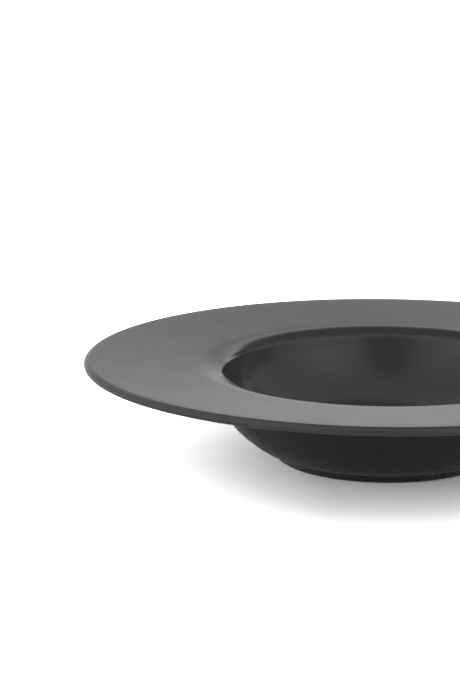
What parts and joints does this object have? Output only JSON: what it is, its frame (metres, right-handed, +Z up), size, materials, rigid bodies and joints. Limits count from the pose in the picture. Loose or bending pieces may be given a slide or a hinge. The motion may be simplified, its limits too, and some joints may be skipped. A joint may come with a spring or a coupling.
{
  "type": "pasta plate",
  "caption": "Round pasta plate with a wide, nearly flat rim round a deep well, on a low foot ring; clay body with a satin charcoal glaze, for serving pasta, soup or risotto.",
  "frame": {"origin": "on the table, at the plate's axis: the centre of the foot ring's standing face", "axes": "+Z up along the plate's axis; the plate is round, so X and Y are level and free to choose"},
  "size_m": [0.29, 0.29, 0.0497],
  "materials": {
    "fired_clay": "bare fired clay, ground flat on the foot",
    "charcoal_glaze": "satin matte charcoal glaze"
  },
  "bodies": {
    "root": {"clay_body": "fired_clay", "face_glaze": "charcoal_glaze", "back_glaze": "charcoal_glaze", "base_glaze": "charcoal_glaze"}
  },
  "joints": []
}
